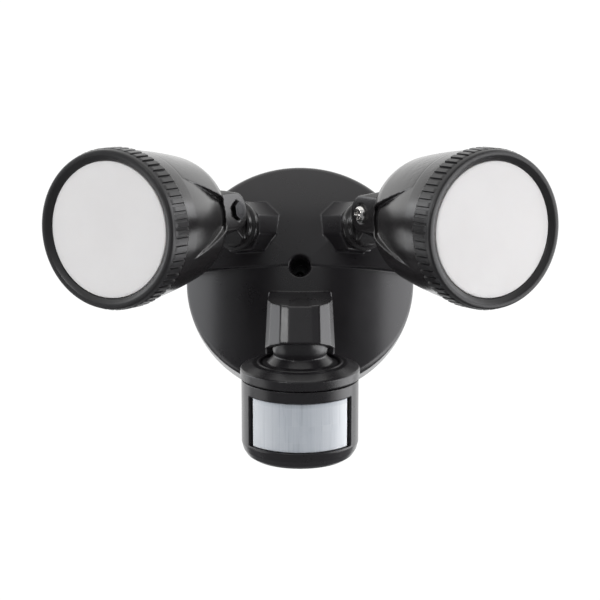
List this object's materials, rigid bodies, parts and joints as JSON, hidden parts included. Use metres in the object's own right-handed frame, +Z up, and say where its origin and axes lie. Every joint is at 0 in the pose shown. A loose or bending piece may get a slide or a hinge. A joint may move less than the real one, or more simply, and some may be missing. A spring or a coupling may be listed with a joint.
{
  "type": "motion sensor security light",
  "caption": "Wall-mounted security light: round domed cover with bell-shaped aimable lamp heads on pivoting arms and a motion sensor on a ball neck below.",
  "frame": {"origin": "midpoint of the box-screw slots, on the back face of the mounting strap, in the wall plane", "axes": "+Z up, -Y out of the wall towards the viewer, +X to the viewer's right, +Y into the wall"},
  "size_m": [0.2745, 0.1795, 0.1823],
  "materials": {
    "bronze_plastic": "dark bronze moulding, satin",
    "bronze_metal": "dark bronze paint on die-cast metal, satin",
    "foam_gasket": "closed-cell foam",
    "zinc_plate": "zinc plated",
    "black_steel": "black zinc plated",
    "green_screw": "green earth screw",
    "circuit_board": "solder mask",
    "components": "moulded components",
    "zinc_screw": "zinc plated",
    "dark_plastic": "moulded",
    "fresnel_lens": "milky ribbed lens",
    "metal_can": "drawn can",
    "dial_plastic": "plain grey dial",
    "rubber_seal": "silicone",
    "frosted_lens": "frosted diffuser",
    "reflector": "white reflector",
    "led_board": "white solder mask",
    "led_chip": "phosphor",
    "heat_sink": "die cast",
    "steel_screw": "polished screw"
  },
  "bodies": {
    "fixture": {"cover": "bronze_plastic", "back_gasket": "foam_gasket", "mounting_strap": "black_steel", "ground_screw": "green_screw", "driver_board": "circuit_board", "driver_parts": "components", "board_screws": "zinc_screw"},
    "arm_right": {"arm_right": "bronze_metal", "arm_locknut_right": "zinc_plate", "arm_seal_right": "rubber_seal"},
    "head_right": {"head_shell_right": "bronze_metal", "head_bezel_right": "bronze_plastic", "head_lens_right": "frosted_lens", "lens_seal_right": "rubber_seal", "head_reflector_right": "reflector", "led_board_right": "led_board", "led_chips_right": "led_chip", "heat_sink_right": "heat_sink", "knuckle_screw_right": "steel_screw", "knuckle_nut_right": "black_steel"},
    "arm_left": {"arm_left": "bronze_metal", "arm_locknut_left": "zinc_plate", "arm_seal_left": "rubber_seal"},
    "head_left": {"head_shell_left": "bronze_metal", "head_bezel_left": "bronze_plastic", "head_lens_left": "frosted_lens", "lens_seal_left": "rubber_seal", "head_reflector_left": "reflector", "led_board_left": "led_board", "led_chips_left": "led_chip", "heat_sink_left": "heat_sink", "knuckle_screw_left": "steel_screw", "knuckle_nut_left": "black_steel"},
    "swivel": {"sensor_swivel": "dark_plastic", "swivel_clip": "zinc_screw"},
    "sensor": {"sensor_cap": "bronze_plastic", "sensor_body": "bronze_plastic", "sensor_lens": "fresnel_lens", "sensor_board": "circuit_board", "detector_can": "metal_can", "dial_switches": "dark_plastic", "housing_screws": "zinc_screw", "sensor_pin": "zinc_screw"},
    "time_dial": {"time_dial": "dial_plastic"},
    "range_dial": {"range_dial": "dial_plastic"}
  },
  "joints": [
    {"name": "arm_turn_right", "type": "hinge", "parent": "fixture", "child": "arm_right", "pos_m": [0.038, -0.0513, 0.0211], "axis": [0.51, -0.8488, -0.1392], "range_deg": [-35, 35]},
    {"name": "head_tilt_right", "type": "hinge", "parent": "arm_right", "child": "head_right", "pos_m": [0.0451, -0.06497, 0.02563], "axis": [0.8588, 0.4934, 0.1378], "range_deg": [-50, 20]},
    {"name": "arm_turn_left", "type": "hinge", "parent": "fixture", "child": "arm_left", "pos_m": [-0.038, -0.0513, 0.0211], "axis": [-0.51, -0.8488, -0.1392], "range_deg": [-35, 35]},
    {"name": "head_tilt_left", "type": "hinge", "parent": "arm_left", "child": "head_left", "pos_m": [-0.0459, -0.0645, 0.0257], "axis": [0.8572, -0.515, 0], "range_deg": [-50, 20]},
    {"name": "sensor_turn", "type": "hinge", "parent": "fixture", "child": "swivel", "pos_m": [0, -0.082, -0.0516], "axis": [0, 0, 1], "range_deg": [-40, 40]},
    {"name": "sensor_tilt", "type": "hinge", "parent": "swivel", "child": "sensor", "pos_m": [0, -0.082, -0.0516], "axis": [1, 0, 0], "range_deg": [-36, 0]},
    {"name": "time_dial_turn", "type": "hinge", "parent": "sensor", "child": "time_dial", "pos_m": [-0.0105, -0.05239, -0.10888], "axis": [0, -0.3746, 0.9272], "range_deg": [-135, 135]},
    {"name": "range_dial_turn", "type": "hinge", "parent": "sensor", "child": "range_dial", "pos_m": [0.0105, -0.05239, -0.10888], "axis": [0, -0.3746, 0.9272], "range_deg": [-135, 135]}
  ]
}
